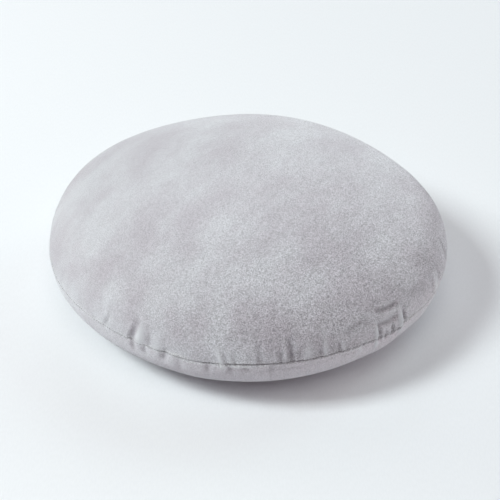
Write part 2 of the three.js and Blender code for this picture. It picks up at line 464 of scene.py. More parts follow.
def held_share(values):
    """How firmly each point is held: 1 at the seam, the crown and the underside."""
    distance = values["distance"]
    held = smoothstep(distance, FREE_UP, FREE_UP + HOLD_FADE)
    held += smoothstep(-distance, FREE_DOWN, FREE_DOWN + HOLD_FADE)
    for pucker in PUCKERS:
        depth, strength, across = pucker_reach(pucker, values["angle"], distance, values["radius"])
        held = np.maximum(held, min(1, depth / HELD_DEPTH) * strength * bell(across / CREASE_BOTTOM))
    return np.where(distance == 0, 1, held)


HELD = held_share(NET)
print("fully held:", round(100 * float((HELD == 1).mean())), "% of the points")

# %% Simulate the filled cloth
PRESSURE = 300
LAST_FRAME = 12
MOST_MOVEMENT = 5 * MM
LEAST_MOVEMENT = 1e-9  # what a point that stays put is divided by
LEAST_WEIGHT = 0.001
EXTRA_CLOTH = 0.04
EXTRA_REACH = 30
CLOTH_SETTINGS = {
    "quality": 6,
    "mass": 0.002,
    "tension_stiffness": 2,
    "compression_stiffness": 2,
    "shear_stiffness": 1,
    "bending_stiffness": 0.02,
    "shrink_max": -EXTRA_CLOTH,
    "use_pressure": True,
    "uniform_pressure_force": PRESSURE,
}


def add_weights(piece, name, weights):
    group = piece.vertex_groups.new(name=name)
    for i in np.nonzero(weights > LEAST_WEIGHT)[0]:
        group.add([int(i)], float(weights[i]), "REPLACE")
    return name


def read_array(items, name, *size):
    """The named value of every item in one array."""
    values = np.empty((len(items), *size))
    items.foreach_get(name, values.ravel())
    return values


def fill_with_pressure(piece, distance):
    """Runs the simulation, keeps its result in the mesh and gives the movement in millimetres."""
    before = read_array(piece.data.vertices, "co", 3)
    cloth = piece.modifiers.new("filled cloth", "CLOTH")
    cloth.collision_settings.use_collision = False
    settings = cloth.settings
    settings.effector_weights.gravity = 0
    settings.vertex_group_mass = add_weights(piece, "held", HELD)
    settings.vertex_group_shrink = add_weights(piece, "gathered", bell(distance / EXTRA_REACH))
    for name, value in CLOTH_SETTINGS.items():
        setattr(settings, name, value)
    for number in range(1, LAST_FRAME + 1):
        bpy.context.scene.frame_set(number)
    filled = piece.evaluated_get(bpy.context.evaluated_depsgraph_get())
    moved = read_array(filled.data.vertices, "co", 3) - before
    piece.modifiers.remove(cloth)
    piece.vertex_groups.clear()
    bpy.context.scene.frame_set(1)
    length = np.linalg.norm(moved, axis=1)
    kept = np.minimum(length, MOST_MOVEMENT)
    moved *= (kept / np.maximum(length, LEAST_MOVEMENT))[:, None]
    piece.data.vertices.foreach_set("co", (before + moved).ravel())
    piece.data.update()
    return kept / MM


moves = fill_with_pressure(cushion, NET["distance"])
print("the cloth moved", round(moves.mean(), 2), "mm on average,", round(moves.max(), 2), "mm at most")

# %% [markdown]
# ## Finer cloth, sharp folds and the line of the seam
# One subdivision rounds the net off. The pressure has ironed out the finest folds, so the rest of
# each fold is pressed in now, and the seam is drawn in with a small roll of cloth at either side.
# A sculpted groove would be the same all round. The real thread pulls hard at the front and lets go
# at the left and right, so the share of the seam's full depth at each angle follows a table.

# %% Subdivide the cloth
subdivision = cushion.modifiers.new("finer cloth", "SUBSURF")
subdivision.levels = 1
subdivision.render_levels = 1
with bpy.context.temp_override(object=cushion, active_object=cushion, selected_objects=[cushion]):
    bpy.ops.object.modifier_apply(modifier=subdivision.name)
print("fine cloth:", len(cushion.data.vertices), "points,", len(cushion.data.polygons), "faces")

# %% Press in the folds and draw in the seam
GROOVE_DEPTH = 1.5
GROOVE_WIDTH = 0.9
SEAM_PULL = [  # angle, share of the full depth
    (-180, 0.7), (-85, 0.5), (-64, 0.12), (-34, 0.15), (-31.5, 0.7), (-29.5, 0.25),
    (-24, 0.45), (-20.5, 1.0), (-18, 0.5), (-12, 0.6), (-10, 1.0), (-7.5, 1.0),
    (-6, 0.3), (-5, 0.3), (-4, 1.0), (22, 1.0), (26, 0.8), (29, 0.25),
    (46, 0.25), (52, 0.6), (80, 0.6), (180, 0.7),
]


def seam_pull(angle):
    angles, shares = zip(*SEAM_PULL)
    return np.interp(angle, angles, shares)


def angle_of(points):
    return np.degrees(np.arctan2(points[:, 0], -points[:, 1]))


def press_folds(piece):
    """Moves the cloth, and gives each point with its angle, distance from the seam and fold height."""
    points = read_array(piece.data.vertices, "co", 3)
    normals = read_array(piece.data.vertex_normals, "vector", 3)
    distance = read_array(piece.data.attributes["from_seam_mm"].data, "value")
    angle = angle_of(points)
    free = smoothstep(points[:, 2] / MM, 0, FREE_HEIGHT)
    fold = free * folds(angle, distance, np.hypot(points[:, 0], points[:, 1]) / MM)
    groove = GROOVE_DEPTH * seam_pull(angle) * crease(distance / GROOVE_WIDTH)
    relief = (1 - FOLDS_BEFORE) * fold + groove
    points += (relief * MM)[:, None] * normals
    points[:, 2] = np.maximum(points[:, 2], 0)
    piece.data.vertices.foreach_set("co", points.ravel())
    piece.data.update()
    print("folds and seam: from", round(relief.min(), 1), "to", round(relief.max(), 1), "mm")
    return points, angle, distance, fold


cloth_place, cloth_angle, cloth_distance, cloth_fold = press_folds(cushion)

# %% [markdown]
# ## How the pile lies
# Velvet looks different wherever its pile lies differently. A painted picture could hold that, but
# it would need a flat map of the cloth. Here six values stay on the mesh for the finish: where the
# pile is parted, so that the ground cloth shows, with painted shade in the seam and deep creases;
# painted highlights on ridges; painted shade on the front right and painted light on part of the
# crown; where its tufts shade one another; where it is pressed smooth, with painted light on the
# lower panel; and where cut fibres fray at the seam, with painted highlights in two places.

# %% Seam and crease shade, and ridge highlights
SEAM_LINE_WIDTH = 0.42
STITCH_PITCH = 3.0
STITCH_COUNT = round(2 * math.pi * RADIUS / STITCH_PITCH)
UNDER_STITCH = 0.6  # how dark the seam line is under a stitch, as a share of the most
HAND_FROM = 26
HAND_TO = 47.5
HAND_PITCH = 3.6
HAND_COUNT = round(math.radians(HAND_TO - HAND_FROM) * RADIUS / HAND_PITCH)
UNDER_HAND_STITCH = 0.05
DEEP_FOLD = 2.8
CREASE_SHADE = 0.4
HIGH_FOLD = 1.6


def seam_parting_and_shade(angle):
    """Ground cloth and painted shade on the seam: most between two stitches, so the seam is a dotted
    line.
    """
    machine = 0.5 - 0.5 * np.cos(np.radians(angle + 180) * STITCH_COUNT)
    hand = 0.5 + 0.5 * np.cos(2 * math.pi * HAND_COUNT * (angle - HAND_FROM) / (HAND_TO - HAND_FROM))
    by_machine = seam_pull(angle) * (UNDER_STITCH + (1 - UNDER_STITCH) * machine)
    by_hand = UNDER_HAND_STITCH + (1 - UNDER_HAND_STITCH) * hand
    return np.where((angle > HAND_FROM) & (angle < HAND_TO), by_hand, by_machine)


# Painted shade: the seam line and the bottoms of deep creases are darkened towards the ground cloth
# colour.
parted_and_shaded = seam_parting_and_shade(cloth_angle) * bell(cloth_distance / SEAM_LINE_WIDTH)
parted_and_shaded += CREASE_SHADE * np.clip(-cloth_fold / DEEP_FOLD, 0, 1)
add_attribute(cushion.data, "parted_and_shaded", np.clip(parted_and_shaded, 0, 1))
# Painted highlight: ridges are paler, partly as brushed pile and partly for the light they catch.
add_attribute(cushion.data, "brushed_and_highlit", np.clip(cloth_fold / HIGH_FOLD, 0, 1))
print(STITCH_COUNT, "machine stitches would go round,", HAND_COUNT, "hand stitches close the front right")

# %% Painted shade and light on the crown, and shaded tufts
SHADE_AT = 36
SHADE_TURN = 55
SHADE_REACH = 125
LIGHT_PATCH_AT = (-48, -56)
LIGHT_PATCH_REACH = 75
LIGHT_PATCH_SHARE = 0.7
SHADED_TO = 74


def painted_shade_and_light(points, angle, distance):
    """From 1, where painted shade darkens the front right, to below 0, where painted light pales the
    crown.
    """
    shaded_side = bell(turn_between(SHADE_AT, angle) / SHADE_TURN) * bell(distance / SHADE_REACH)
    away = np.linalg.norm(points[:, :2] / MM - LIGHT_PATCH_AT, axis=1)
    return np.where(distance > 0, shaded_side - LIGHT_PATCH_SHARE * bell(away / LIGHT_PATCH_REACH), 0)


def shaded_pile(points):
    """From -1, where the tufts lean into the light, to 1, where they shade one another."""
    turn = math.radians(SHADED_TO)
    return (points[:, 0] * math.sin(turn) - points[:, 1] * math.cos(turn)) / (RADIUS * MM)


# Painted shade and light: the upper panel is darker at the front right and paler in a patch to the front
# left of the middle.
shade_and_light = painted_shade_and_light(cloth_place, cloth_angle, cloth_distance)
add_attribute(cushion.data, "shade_and_light", shade_and_light)
add_attribute(cushion.data, "shaded", shaded_pile(cloth_place))
# The printed range runs from painted light to painted shade.
print("the pile stands from", round(shade_and_light.min(), 2), "to", round(shade_and_light.max(), 2))

# %% Pressed and frayed pile, with painted light and highlights
PRESSED_AND_LIT_BELOW = 0.15  # how pressed and painted pale the lower panel is, away from its palest place
PRESSED_AND_LIT_FULL = 3
PRESSED_AND_LIT_AT = 58
PRESSED_AND_LIT_TURN = 75
# The row at 61 degrees is painted light on the edge at the front right.
PRESSED_AND_LIT = [  # angle, distance, spread in degrees, spread in millimetres, share
    (32, 5, 7, 10, 0.4),
    (43, 11, 5.5, 14, 0.45),
    (61, 3, 12, 11, 0.9),
]
FRAYED_AT = 1.4
FRAYED_WIDTH = 0.8
FRAYED_SHARE = 0.5
FRAYED_MOST = 3.0
# Two rows are painted light: at 61 degrees on the lower edge, and at 66.9 degrees on a ridge.
FRAYED_AND_HIGHLIT = [  # angle, distance, spread in degrees, spread in millimetres, share
    (-48, 0.5, 15, 0.8, 1.0),
    (-26, 0.5, 2.5, 0.8, 1.0),
    (-17.5, 1.7, 2.6, 1.2, 2.5),
    (-13, -1.9, 2.0, 0.9, 0.8),
    (-5.7, -2.0, 0.9, 2.4, 3.0),
    (-0.9, -2.6, 1.8, 1.1, 2.5),
    (4.0, -2.4, 1.2, 1.0, 0.8),
    (32, -2.6, 4, 1.4, 1.0),
    (57, 1.6, 8, 0.9, 1.4),
    (61, -8, 9, 8, 1.0),
    (66.9, 4.0, 1.2, 6.0, 1.0),
]


def patches(table, angle, distance):
    return sum(share * bell(turn_between(at, angle) / turn) * bell((distance - middle) / reach)
               for at, middle, turn, reach, share in table)


def pressed_pile(angle, distance):
    """1 where the pile is flattened and paler: on the lower panel, partly painted light, and at the
    hand-closed stretch.
    """
    # Painted light: the lower panel is paler, most at the front right, partly as pressed pile.
    below = PRESSED_AND_LIT_BELOW + (1 - PRESSED_AND_LIT_BELOW) * bell(turn_between(PRESSED_AND_LIT_AT, angle) / PRESSED_AND_LIT_TURN)
    below *= smoothstep(-distance, 0, PRESSED_AND_LIT_FULL)
    return np.clip(patches(PRESSED_AND_LIT, angle, distance) + below, 0, 1)


def frayed_and_highlit_pile(angle, distance):
    """Loose ends of cut pile on both edges of the seam, more in a few places, two of them painted light.
    """
    edges = FRAYED_SHARE * bell((np.abs(distance) - FRAYED_AT) / FRAYED_WIDTH)
    return np.clip(edges + patches(FRAYED_AND_HIGHLIT, angle, distance), 0, FRAYED_MOST)


add_attribute(cushion.data, "pressed", pressed_pile(cloth_angle, cloth_distance))
add_attribute(cushion.data, "frayed_and_highlit", frayed_and_highlit_pile(cloth_angle, cloth_distance))
print("values on the cloth:", [a.name for a in cushion.data.attributes if a.data_type == "FLOAT"])

# %% [markdown]
# ## Cotton velvet
# Velvet is woven with a short cut pile that stands up from the ground cloth. The eye sees a matt
# body, a pale sheen where the tips are seen from the side, fine grain from the tufts, and soft
# patches where the pile leans another way and looks a little warmer or cooler. A picture of velvet
# could be laid over the cushion, but it would stretch, so each of these is made by nodes.

# %% Colours and nodes
COLOUR_A = 6  # the colour sockets of a Mix node go by number, because their names repeat
COLOUR_B = 7
MIXED = 2


def linear(hex_colour):
    """Linear colour with alpha from an sRGB hex value."""
    channels = [int(hex_colour[i:i + 2], 16) / 255 for i in (1, 3, 5)]
    return [c / 12.92 if c <= 0.04045 else ((c + 0.055) / 1.055) ** 2.4 for c in channels] + [1]


def add_node(tree, kind, inputs=None, **settings):
    """Adds one node. An input is a value to set, or another node's output to link."""
    node = tree.nodes.new(kind)
    for name, value in settings.items():
        setattr(node, name, value)
    for name, value in (inputs or {}).items():
        if isinstance(value, bpy.types.NodeSocket):
            tree.links.new(value, node.inputs[name])
        else:
            node.inputs[name].default_value = value
    return node


def new_material(finish):
    """A material named after its finish, whose shader takes the inputs that the finish returns."""
    material = bpy.data.materials.new(finish.__name__)
    material.use_nodes = True
    tree = material.node_tree
    tree.nodes.clear()
    place = add_node(tree, "ShaderNodeTexCoord").outputs["Object"]
    shader = add_node(tree, "ShaderNodeBsdfPrincipled", finish(tree, place))
    add_node(tree, "ShaderNodeOutputMaterial", {"Surface": shader.outputs[0]})
    print(material.name, "has", len(tree.nodes), "nodes")
    return material


print("mid grey #808080 is", round(linear("#808080")[0], 3), "in linear light")

# %% Colour of the nap
PILE_WARM = "#C1BDC3"
PILE_COOL = "#D3D4D8"
PRESSED_AND_LIT_PILE = "#D9D3D8"
NAP_PATCH = 45 * MM
NAP_RANGE = (0.36, 0.64)  # the values of the noise between which warm turns to cool
SHADE_WARMTH = 0.2  # how much warmer painted shade looks


def nap_colour(tree, stroked, pile):
    """Patches of warmer and cooler pile, warmer in painted shade, and a paler colour that is partly
    painted light.
    """
    nap = add_node(tree, "ShaderNodeTexNoise",
                   {"Vector": stroked, "Scale": 1 / NAP_PATCH, "Detail": 4,
                    "Roughness": 0.6}).outputs["Fac"]
    share = add_node(tree, "ShaderNodeMapRange",
                     {"Value": nap, "From Min": NAP_RANGE[0], "From Max": NAP_RANGE[1]}).outputs["Result"]
    nap_and_shade = add_node(tree, "ShaderNodeMath", {0: pile["shade_and_light"], 1: -SHADE_WARMTH, 2: share},
                      operation="MULTIPLY_ADD").outputs[0]
    colour = add_node(tree, "ShaderNodeMix",
                      {"Factor": nap_and_shade, COLOUR_A: linear(PILE_WARM), COLOUR_B: linear(PILE_COOL)},
                      data_type="RGBA").outputs[MIXED]
    return add_node(tree, "ShaderNodeMix",
                    {"Factor": pile["pressed"], COLOUR_A: colour, COLOUR_B: linear(PRESSED_AND_LIT_PILE)},
                    data_type="RGBA").outputs[MIXED]


print("patches of nap are about", round(NAP_PATCH / MM), "mm wide")

# %% Tone of the tufts
TUFT_RANGE = (0.3, 0.7)
LIT_CONTRAST = 0.05
SHADED_CONTRAST = 0.53
PRESSED_CONTRAST = 0.28
PAINTED_LIGHT_TONE = 1.08
PAINTED_SHADE_TONE = 0.855
CLUMP_SHARE = 0.3


def tuft_and_shade_tone(tree, tufts, clumps, pile):
    """Each tuft has a tone of its own. The contrast grows where tufts shade one another."""
    single = add_node(tree, "ShaderNodeMapRange",
                      {"Value": tufts.outputs["Color"], "From Min": TUFT_RANGE[0],
                       "From Max": TUFT_RANGE[1], "To Min": -1, "To Max": 1}).outputs["Result"]
    clumped = add_node(tree, "ShaderNodeMapRange",
                       {"Value": clumps, "To Min": -CLUMP_SHARE, "To Max": CLUMP_SHARE}).outputs["Result"]
    both = add_node(tree, "ShaderNodeMath", {0: single, 1: clumped}, operation="ADD").outputs[0]
    leaning = add_node(tree, "ShaderNodeMapRange",
                       {"Value": pile["shaded"], "From Min": -1, "To Min": LIT_CONTRAST,
                        "To Max": SHADED_CONTRAST}).outputs["Result"]
    contrast = add_node(tree, "ShaderNodeMapRange",
                        {"Value": pile["pressed"], "To Min": leaning,
                         "To Max": PRESSED_CONTRAST}).outputs["Result"]
    # Painted shade and light: the tone is darker at the front right and paler in the crown patch.
    depth = add_node(tree, "ShaderNodeMapRange",
                     {"Value": pile["shade_and_light"], "From Min": -1, "To Min": PAINTED_LIGHT_TONE,
                      "To Max": PAINTED_SHADE_TONE}).outputs["Result"]
    return add_node(tree, "ShaderNodeMath", {0: both, 1: contrast, 2: depth},
                    operation="MULTIPLY_ADD").outputs[0]


print("contrast of the tufts: from", LIT_CONTRAST, "in the light to", SHADED_CONTRAST, "in the shade")

# %% Ridge highlights, seam and crease shade, and loose ends
# Paler colour of ridges: brushed pile and painted highlight.
BRUSHED_HIGHLIGHT = "#D8DADD"
# The ground cloth colour also serves as painted shade in the seam and in deep creases.
GROUND_CLOTH_AND_SHADE = "#615B61"
LINT_WHITE = "#F4F5F6"
LOOSE_RANGE = (0.4, 0.7)


def seam_colour(tree, tufted_and_shaded, tufts, pile):
    """Painted highlight on ridges, ground cloth and painted shade in seam and creases; single tufts fray.
    """
    ridges_highlit = add_node(tree, "ShaderNodeMix",
                      {"Factor": pile["brushed_and_highlit"], COLOUR_A: tufted_and_shaded, COLOUR_B: linear(BRUSHED_HIGHLIGHT)},
                      data_type="RGBA").outputs[MIXED]
    opened_and_shaded = add_node(tree, "ShaderNodeMix",
                      {"Factor": pile["parted_and_shaded"], COLOUR_A: ridges_highlit, COLOUR_B: linear(GROUND_CLOTH_AND_SHADE)},
                      data_type="RGBA").outputs[MIXED]
    # Loose ends, with painted highlights in two places.
    loose = add_node(tree, "ShaderNodeMapRange",
                     {"Value": tufts.outputs["Color"], "From Min": LOOSE_RANGE[0],
                      "From Max": LOOSE_RANGE[1], "To Max": pile["frayed_and_highlit"]}).outputs["Result"]
    return add_node(tree, "ShaderNodeMix",
                    {"Factor": loose, COLOUR_A: opened_and_shaded, COLOUR_B: linear(LINT_WHITE)},
                    data_type="RGBA").outputs[MIXED]


print("ground cloth", GROUND_CLOTH_AND_SHADE, "under a pile of", PILE_WARM, "to", PILE_COOL)

# %% Cotton velvet
PILE_VALUES = ("shade_and_light", "shaded", "pressed", "brushed_and_highlit", "parted_and_shaded", "frayed_and_highlit")
NAP_TURN = 60
NAP_STRETCH = 2.0
TUFT_SIZE = 0.5 * MM  # real tufts are 0.3 to 0.5 mm apart, and only the coarsest would show
TUFT_HEIGHT = 0.4 * MM
CLUMP_SIZE = 8 * MM
CLUMP_HEIGHT = 0.55 * MM
SHEEN_TINT = "#F4F6FA"


def cotton_velvet(tree, place):
    pile = {name: add_node(tree, "ShaderNodeAttribute", attribute_name=name).outputs["Fac"]
            for name in PILE_VALUES}

    # The nap is drawn out in the direction in which the cover was stroked.
    stroked = add_node(tree, "ShaderNodeMapping",
                       {"Vector": place, "Rotation": (0, 0, math.radians(NAP_TURN)),
                        "Scale": (NAP_STRETCH, 1, 1)}, vector_type="TEXTURE").outputs["Vector"]
    clumps = add_node(tree, "ShaderNodeTexNoise",
                      {"Vector": stroked, "Scale": 1 / CLUMP_SIZE, "Detail": 3,
                       "Roughness": 0.6}).outputs["Fac"]
    tufts = add_node(tree, "ShaderNodeTexVoronoi", {"Vector": place, "Scale": 1 / TUFT_SIZE})
    tufted_and_shaded = add_node(tree, "ShaderNodeMix",
                      {"Factor": 1, COLOUR_A: nap_colour(tree, stroked, pile),
                       COLOUR_B: tuft_and_shade_tone(tree, tufts, clumps, pile)},
                      data_type="RGBA", blend_type="MULTIPLY").outputs[MIXED]
    colour = seam_colour(tree, tufted_and_shaded, tufts, pile)

    # Clumps of pile lean together, and each tuft on them stands as a small dome.
    lean = add_node(tree, "ShaderNodeBump",
                    {"Height": clumps, "Strength": 1, "Distance": CLUMP_HEIGHT}).outputs["Normal"]
    grain = add_node(tree, "ShaderNodeBump",
                     {"Height": tufts.outputs["Distance"], "Strength": 1, "Distance": TUFT_HEIGHT,
                      "Normal": lean}, invert=True).outputs["Normal"]
    return {"Base Color": colour, "Normal": grain, "Roughness": 0.9, "IOR": 1.5,
            "Specular IOR Level": 0.15, "Sheen Weight": 0.8, "Sheen Roughness": 0.5,
            "Sheen Tint": linear(SHEEN_TINT)}


cushion.data.materials.append(new_material(cotton_velvet))

# %% [markdown]
# ## Sewing thread
# A machine has sewn most of the edge from the inside, so its thread shows only deep in the seam, as
# short dashes. One stretch at the front right stayed open for the filling and was closed by hand, so
# there the stitches cross the seam on the outside. Curves with a bevel could draw them. Here every
# stitch is a short closed tube in one joined mesh, because hundreds of objects would be slow.

# %% Find places on the finished cloth
ON_SEAM = 0.001
NEAR_SEAM = 9
SEAM_NEIGHBOURS = 2
CLOTH_NEIGHBOURS = 4
LEAST_GAP = 0.01  # keeps a weight finite where a place falls on a point
CLOTH = {
    "points": read_array(cushion.data.vertices, "co", 3),
    "normals": read_array(cushion.data.vertex_normals, "vector", 3),
    "distance": cloth_distance,
}
CLOTH["angle"] = angle_of(CLOTH["points"])


def unrolled(angle, distance):
    """A place on the cloth as if the edge of the cushion were laid out straight."""
    return (math.radians(angle) * RADIUS, distance, 0)


def cloth_tree(reach):
    """A search tree of all cloth points within reach of the seam."""
    chosen = np.nonzero(np.abs(CLOTH["distance"]) <= reach)[0]
    tree = KDTree(len(chosen))
    for i in chosen:
        tree.insert(unrolled(CLOTH["angle"][i], CLOTH["distance"][i]), int(i))
    tree.balance()
    print(len(chosen), "points within", reach, "mm of the seam")
    return tree


SEAM_TREE = cloth_tree(ON_SEAM)
CLOTH_TREE = cloth_tree(NEAR_SEAM)


def weighted(tree, angle, distance, neighbours):
    """Point and outward direction at a place, weighted from the nearest points of the tree."""
    found = tree.find_n(unrolled(angle, distance), neighbours)
    weights = [1 / (gap + LEAST_GAP) for _, _, gap in found]
    picked = [i for _, i, _ in found]
    return [np.average(CLOTH[name][picked], axis=0, weights=weights) for name in ("points", "normals")]


def on_seam(angle):
    return weighted(SEAM_TREE, angle, 0, SEAM_NEIGHBOURS)


def on_cloth(angle, distance):
    return weighted(CLOTH_TREE, angle, distance, CLOTH_NEIGHBOURS)


# %% The tube of one stitch
THREAD_RADIUS = 0.28
THREAD_DIP = 0.3
TUBE_RINGS = [(0, 0.35), (0.2, 0.9), (0.5, 1), (0.8, 0.9), (1, 0.35)]  # shares of length and radius
TUBE_SIDES = 6


def stitch_tube(start, end, outward, bow):
    """Points of one bowed tube whose ends dip into the cloth."""
    axis = (end - start) / np.linalg.norm(end - start)
    up = outward - np.dot(outward, axis) * axis
    up /= np.linalg.norm(up)
    side = np.cross(axis, up)
    points = []
    for share, swell in TUBE_RINGS:
        rise = (bow * math.sin(math.pi * share) - THREAD_DIP) * MM
        middle = start + (end - start) * share + up * rise
        for i in range(TUBE_SIDES):
            turn = 2 * math.pi * i / TUBE_SIDES
            spoke = math.cos(turn) * up + math.sin(turn) * side
            points.append(middle + THREAD_RADIUS * MM * swell * spoke)
    return points


def tube_faces(first):
    """Faces of the tube whose points start at first, closed at both ends."""
    faces = []
    for ring in range(len(TUBE_RINGS) - 1):
        here = first + ring * TUBE_SIDES
        faces += bridge(here, TUBE_SIDES, here + TUBE_SIDES, TUBE_SIDES)
    last = first + (len(TUBE_RINGS) - 1) * TUBE_SIDES
    return faces + [tuple(range(first, first + TUBE_SIDES))[::-1], tuple(range(last, last + TUBE_SIDES))]


def stitches(name, tubes):
    faces = [face for i in range(len(tubes)) for face in tube_faces(i * len(TUBE_RINGS) * TUBE_SIDES)]
    print(name, "has", len(tubes), "tubes and", len(faces), "faces")
    return add_mesh(name, np.concatenate(tubes), faces)


print("a stitch has", len(tube_faces(0)), "faces and is", 2 * THREAD_RADIUS, "mm thick")

# %% Stitches by machine
STITCH_LENGTH = 2.1
THREAD_BOW = 0.6


def machine_stitches():
    half = math.degrees(STITCH_LENGTH / RADIUS) / 2
    tubes = []
    for i in range(STITCH_COUNT):
        angle = 360 * i / STITCH_COUNT - 180
        if not HAND_FROM < angle < HAND_TO:
            start, outward = on_seam(angle - half)
            end, _ = on_seam(angle + half)
            tubes.append(stitch_tube(start, end, outward, THREAD_BOW))
    return stitches("machine_stitches", tubes)


machine_thread = machine_stitches()

# %% Stitches by hand
HAND_LENGTH = 2.6
HAND_ABOVE = 0.6
HAND_BELOW = -2.4
HAND_BOW = 0.75
HAND_SWAY = 0.2  # share of the pitch by which a stitch is out of place
HAND_BELOW_SWAY = 0.5
HAND_BELOW_STEP = 1.7


def hand_stitches():
    lean = math.degrees(HAND_LENGTH / RADIUS) / 2
    tubes = []
    for i in range(HAND_COUNT):
        share = (i + 0.5 + HAND_SWAY * math.sin(UNEVEN_STEP * i)) / HAND_COUNT
        angle = HAND_FROM + (HAND_TO - HAND_FROM) * share
        below = HAND_BELOW + HAND_BELOW_SWAY * math.sin(HAND_BELOW_STEP * i)
        start, outward = on_cloth(angle - lean, below)
        end, _ = on_cloth(angle + lean, HAND_ABOVE)
        tubes.append(stitch_tube(start, end, outward, HAND_BOW))
    return stitches("hand_stitches", tubes)


hand_thread = hand_stitches()

# %% [markdown]
# ## Loose pile at the seam
# Where velvet is cut and sewn, loose fibres stand out along the seam, and specks of lint catch the
# light. Blender's hair could draw the fibres, but it isn't part of a mesh. So each fibre is a thin
# closed spike that leans away from the cloth and up, and each speck a small uneven octahedron.

# %% Shapes of a fibre and a speck
FIBRE_BASE = 0.15
SPIKE_SIDES = 3
SPIKE_FACES = [(0, 2, 1), (0, 1, 3), (1, 2, 3), (2, 0, 3)]
SPECK_POINTS = np.array([(1, 0, 0), (0, 1, 0), (-1, 0, 0), (0, -1, 0), (0, 0, 1), (0, 0, -1)])
SPECK_FACES = [(0, 1, 4), (1, 2, 4), (2, 3, 4), (3, 0, 4), (1, 0, 5), (2, 1, 5), (3, 2, 5), (0, 3, 5)]
ASIDE = (0.36, 0.48, 0.8)  # any fixed direction, to find one that lies across a fibre


def spike(root, direction, length):
    """A closed spike of four points: a three-sided base and a tip."""
    across = np.cross(direction, ASIDE)
    across /= np.linalg.norm(across)
    beside = np.cross(direction, across)
    base = []
    for i in range(SPIKE_SIDES):
        turn = 2 * math.pi * i / SPIKE_SIDES
        base.append(root + FIBRE_BASE * MM * (math.cos(turn) * across + math.sin(turn) * beside))
    return base + [root + direction * length * MM]


print("a fibre has", len(SPIKE_FACES), "faces, a speck", len(SPECK_FACES))

# %% Scatter the fibres and specks
FIBRE_SEED = 11
FIBRES_ALL_ROUND = 3600
FIBRE_SPREAD = 1.5
FIBRE_SHORTEST = 0.7
FIBRE_LONGEST = 1.7
FIBRE_LEAN = 0.9
FIBRE_RISE = 0.7
LINT = [  # angle, distance, spread in degrees, spread in millimetres, specks
    (-6.0, -0.9, 0.8, 0.9, 12),
    (-0.6, -2.1, 1.6, 0.4, 12),
    (-13, -1.8, 1.8, 0.3, 8),
    (31.5, -2.2, 2.6, 0.6, 8),
]
SPECK_SMALLEST = 0.3
SPECK_LARGEST = 0.75
SPECK_OUT = 0.8


def loose_pile():
    draw = np.random.default_rng(FIBRE_SEED)
    points = []
    faces = []
    for _ in range(FIBRES_ALL_ROUND):
        angle, distance = draw.uniform(-180, 180), draw.normal(0, FIBRE_SPREAD)
        root, outward = on_cloth(angle, distance)
        direction = outward + FIBRE_LEAN * draw.uniform(-1, 1, 3) + (0, 0, FIBRE_RISE)
        direction /= np.linalg.norm(direction)
        faces += [tuple(len(points) + i for i in face) for face in SPIKE_FACES]
        points += spike(root, direction, draw.uniform(FIBRE_SHORTEST, FIBRE_LONGEST))
    for at, middle, turn, reach, count in LINT:
        for _ in range(count):
            root, outward = on_cloth(draw.normal(at, turn), draw.normal(middle, reach))
            faces += [tuple(len(points) + i for i in face) for face in SPECK_FACES]
            size = draw.uniform(SPECK_SMALLEST, SPECK_LARGEST, 3)
            points += list(root + (SPECK_OUT * outward + SPECK_POINTS * size) * MM)
    return add_mesh("loose_pile", np.array(points), faces)


fibres = loose_pile()
print(fibres.name, "faces:", len(fibres.data.polygons))

# %% [markdown]
# ## Cotton thread and lint
# Sewing thread is spun from a few strands of cotton. It gives the eye a matt line with slanting
# strands, darker than the pile because it lies in the shade of the cloth. Lint is loose cut cotton,
# almost white, because light passes through single fibres. One plain grey would do from afar, but
# close up the twist and the patches tell.

# %% Cotton thread
THREAD_LIGHT = "#B4AFB5"
THREAD_DARK = "#8F8A90"
STRAND_PITCH = 2.54 * MM  # real strands lie about 0.35 mm apart, too fine to show, so they are coarser
STRAND_HEIGHT = 0.117 * MM
WAVES_PER_METRE = 10 * math.sqrt(3) / (2 * math.pi)  # of a diagonal Wave texture with a scale of 1


def cotton_thread(tree, place):
    strands = add_node(tree, "ShaderNodeTexWave",
                       {"Vector": place, "Scale": 1 / STRAND_PITCH / WAVES_PER_METRE,
                        "Distortion": 1.5}, bands_direction="DIAGONAL").outputs["Fac"]
    colour = add_node(tree, "ShaderNodeMix",
                      {"Factor": strands, COLOUR_A: linear(THREAD_DARK), COLOUR_B: linear(THREAD_LIGHT)},
                      data_type="RGBA").outputs[MIXED]
    twist = add_node(tree, "ShaderNodeBump",
                     {"Height": strands, "Strength": 0.6, "Distance": STRAND_HEIGHT}).outputs["Normal"]
    return {"Base Color": colour, "Normal": twist, "Roughness": 0.8, "IOR": 1.5,
            "Specular IOR Level": 0.2, "Sheen Weight": 0.3, "Sheen Roughness": 0.5}


thread_finish = new_material(cotton_thread)
machine_thread.data.materials.append(thread_finish)
hand_thread.data.materials.append(thread_finish)

# %% Cotton lint
LINT_GREY = "#DEDEE1"
LINT_PATCH = 2 * MM


def cotton_lint(tree, place):
    whiter = add_node(tree, "ShaderNodeTexNoise",
                      {"Vector": place, "Scale": 1 / LINT_PATCH}).outputs["Fac"]
    colour = add_node(tree, "ShaderNodeMix",
                      {"Factor": whiter, COLOUR_A: linear(LINT_GREY), COLOUR_B: linear(LINT_WHITE)},
                      data_type="RGBA").outputs[MIXED]
    return {"Base Color": colour, "Roughness": 0.9, "IOR": 1.5, "Specular IOR Level": 0.15,
            "Sheen Weight": 1.0, "Sheen Roughness": 0.5}


fibres.data.materials.append(new_material(cotton_lint))

# %% [markdown]
# ## Floor, light and camera
# The cushion lies on matt painted board, which gives the eye an even white with a faint grain. It is
# a disc, so that no corner shows from any side. A large window lights it from the left, and pale
# walls and the ceiling fill in the rest. A sky picture could do that, but lamps are easier to place
# and to tint: the window is a little cool, and light that has been round the room a little pink.

